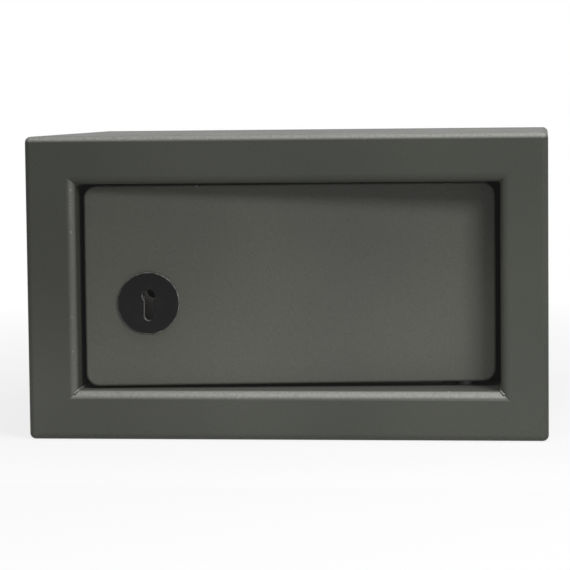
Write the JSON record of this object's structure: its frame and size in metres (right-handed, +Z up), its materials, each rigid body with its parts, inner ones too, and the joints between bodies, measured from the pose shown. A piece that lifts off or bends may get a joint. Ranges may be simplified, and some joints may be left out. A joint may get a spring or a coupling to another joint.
{
  "type": "brick safe",
  "caption": "Small steel wall safe the height of brick courses, with a recessed right-hung door standing ajar, a round black keyhole plate and a lever lock.",
  "frame": {"origin": "middle of the underside, on the surface that the safe stands on", "axes": "+X to the right seen from the front, +Y from the door to the back, +Z up"},
  "size_m": [0.26, 0.22, 0.152],
  "materials": {
    "grey_enamel": "semi-gloss stoved grey enamel, slightly green",
    "door_enamel": "semi-gloss stoved grey enamel, slightly green",
    "black_plate": "satin black",
    "bright_steel": "bright turned steel",
    "hardened_steel": "dark hardened and ground",
    "plated_steel": "pressed steel, zinc plated",
    "brass": "drawn and filed brass"
  },
  "bodies": {
    "cabinet": {"front_frame": "grey_enamel", "body_wrap": "grey_enamel", "back_plate": "grey_enamel", "keeper_strip": "grey_enamel", "door_stop_top": "grey_enamel", "door_stop_bottom": "grey_enamel", "hinge_plate_top": "grey_enamel", "hinge_plate_bottom": "grey_enamel", "hinge_washer": "hardened_steel"},
    "door": {"door_plate": "door_enamel", "hinge_lug_top": "door_enamel", "hinge_lug_bottom": "door_enamel", "hinge_pin_top": "hardened_steel", "hinge_pin_bottom": "hardened_steel", "escutcheon": "black_plate", "hard_plate": "hardened_steel", "lock_case": "plated_steel", "lock_cap": "plated_steel", "lock_screws": "bright_steel", "cap_screws": "bright_steel", "lever_post": "brass"},
    "curtain": {"curtain": "brass"},
    "bolt": {"lock_bolt": "brass"},
    "swing_lever_1": {"lever_1": "brass", "lever_spring_1": "bright_steel"},
    "swing_lever_2": {"lever_2": "brass", "lever_spring_2": "bright_steel"},
    "swing_lever_3": {"lever_3": "brass", "lever_spring_3": "bright_steel"},
    "swing_lever_4": {"lever_4": "brass", "lever_spring_4": "bright_steel"},
    "swing_lever_5": {"lever_5": "brass", "lever_spring_5": "bright_steel"},
    "swing_lever_6": {"lever_6": "brass", "lever_spring_6": "bright_steel"},
    "swing_lever_7": {"lever_7": "brass", "lever_spring_7": "bright_steel"}
  },
  "joints": [
    {"name": "door_swing", "type": "hinge", "parent": "cabinet", "child": "door", "pos_m": [0.089, -0.0745, 0.0765], "axis": [0, 0, 1], "range_deg": [-4.5, 90]},
    {"name": "curtain_turn", "type": "hinge", "parent": "door", "child": "curtain", "pos_m": [-0.06999, -0.10005, 0.0712], "axis": [0.0785, -0.9969, 0], "range_deg": [0, 360]},
    {"name": "bolt_throw", "type": "slide", "parent": "door", "child": "bolt", "axis": [-0.9969, -0.0785, 0], "range_m": [0, 0.009]},
    {"name": "lever_1_drop", "type": "hinge", "parent": "door", "child": "swing_lever_1", "pos_m": [-0.05095, -0.08702, 0.0902], "axis": [-0.0785, 0.9969, 0], "range_deg": [-3, 0]},
    {"name": "lever_2_drop", "type": "hinge", "parent": "door", "child": "swing_lever_2", "pos_m": [-0.05095, -0.08702, 0.0902], "axis": [-0.0785, 0.9969, 0], "range_deg": [-4.2, 0]},
    {"name": "lever_3_drop", "type": "hinge", "parent": "door", "child": "swing_lever_3", "pos_m": [-0.05095, -0.08702, 0.0902], "axis": [-0.0785, 0.9969, 0], "range_deg": [-3.4, 0]},
    {"name": "lever_4_drop", "type": "hinge", "parent": "door", "child": "swing_lever_4", "pos_m": [-0.05095, -0.08702, 0.0902], "axis": [-0.0785, 0.9969, 0], "range_deg": [-2.6, 0]},
    {"name": "lever_5_drop", "type": "hinge", "parent": "door", "child": "swing_lever_5", "pos_m": [-0.05095, -0.08702, 0.0902], "axis": [-0.0785, 0.9969, 0], "range_deg": [-3.8, 0]},
    {"name": "lever_6_drop", "type": "hinge", "parent": "door", "child": "swing_lever_6", "pos_m": [-0.05095, -0.08702, 0.0902], "axis": [-0.0785, 0.9969, 0], "range_deg": [-3.2, 0]},
    {"name": "lever_7_drop", "type": "hinge", "parent": "door", "child": "swing_lever_7", "pos_m": [-0.05095, -0.08702, 0.0902], "axis": [-0.0785, 0.9969, 0], "range_deg": [-4, 0]}
  ],
  "couplings": [
    {"joint": "curtain_turn", "follows": "bolt_throw", "rad_per_m": 698.13}
  ]
}
